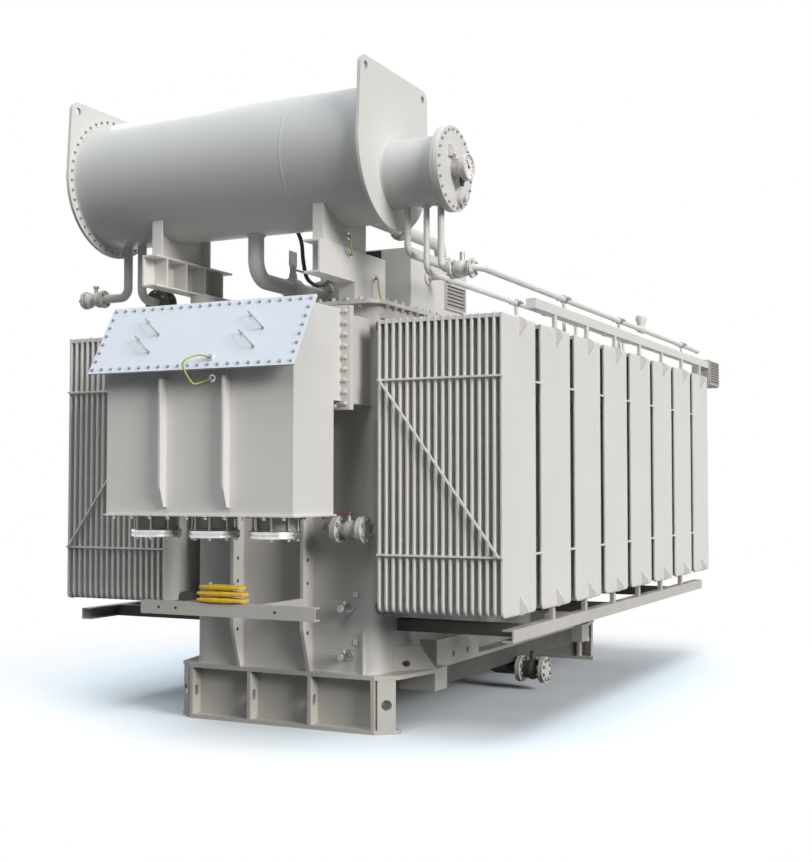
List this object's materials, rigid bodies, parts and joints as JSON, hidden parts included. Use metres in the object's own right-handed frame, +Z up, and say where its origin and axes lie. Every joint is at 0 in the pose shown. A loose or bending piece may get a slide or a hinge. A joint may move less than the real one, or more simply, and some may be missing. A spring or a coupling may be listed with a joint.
{
  "type": "power transformer",
  "caption": "Oil-filled power transformer with finned radiator banks on both sides, a cylindrical conservator on top and a cable box with a sloping lid at each end.",
  "frame": {"origin": "centre of the bounding box on the ground", "axes": "+X along the tank away from the front cable box, +Z up"},
  "size_m": [6.0997, 3.169, 3.9],
  "materials": {
    "grey_paint": "satin",
    "lid_metal": "satin",
    "bright_metal": "satin",
    "lever_red": "gloss",
    "cleat_yellow": "matte",
    "gauge_grey": "satin"
  },
  "bodies": {
    "transformer": {"base_deck": "grey_paint", "base_feet": "grey_paint", "base_side_beams": "grey_paint", "cable_box_front": "grey_paint", "cable_box_front_lid": "lid_metal", "cable_box_rear": "grey_paint", "cable_box_rear_lid": "lid_metal", "cable_cleat": "cleat_yellow", "cable_glands": "bright_metal", "cable_neck_front": "grey_paint", "cable_neck_rear": "grey_paint", "cable_support": "grey_paint", "cable_tray_right": "grey_paint", "chamber_cover": "grey_paint", "chamber_shell": "grey_paint", "collector_pipes": "grey_paint", "conduit_right": "grey_paint", "conservator_pipes": "grey_paint", "conservator_plate_left": "grey_paint", "conservator_plate_right": "grey_paint", "conservator_saddles": "grey_paint", "conservator_shell": "grey_paint", "fin_braces": "grey_paint", "fin_ties": "grey_paint", "gas_relay": "grey_paint", "hauling_plates": "grey_paint", "jacking_brackets": "grey_paint", "louvred_box": "grey_paint", "oil_gauge": "gauge_grey", "oil_pipe_right": "grey_paint", "radiator_rails": "grey_paint", "radiators_left_front": "grey_paint", "radiators_left_rear": "grey_paint", "radiators_right_front": "grey_paint", "radiators_right_rear": "grey_paint", "rail_arms": "grey_paint", "saddle_beams": "grey_paint", "tank_body": "grey_paint", "tank_cover": "grey_paint", "tank_ribs": "grey_paint", "tank_valves": "grey_paint", "turret_box": "grey_paint"},
    "lever": {"drain_lever": "lever_red"}
  },
  "joints": [
    {"name": "drain_lever_turn", "type": "hinge", "parent": "transformer", "child": "lever", "pos_m": [-2.15, -0.53, 1.297], "axis": [0, 0, 1], "range_deg": [0, 90]}
  ]
}
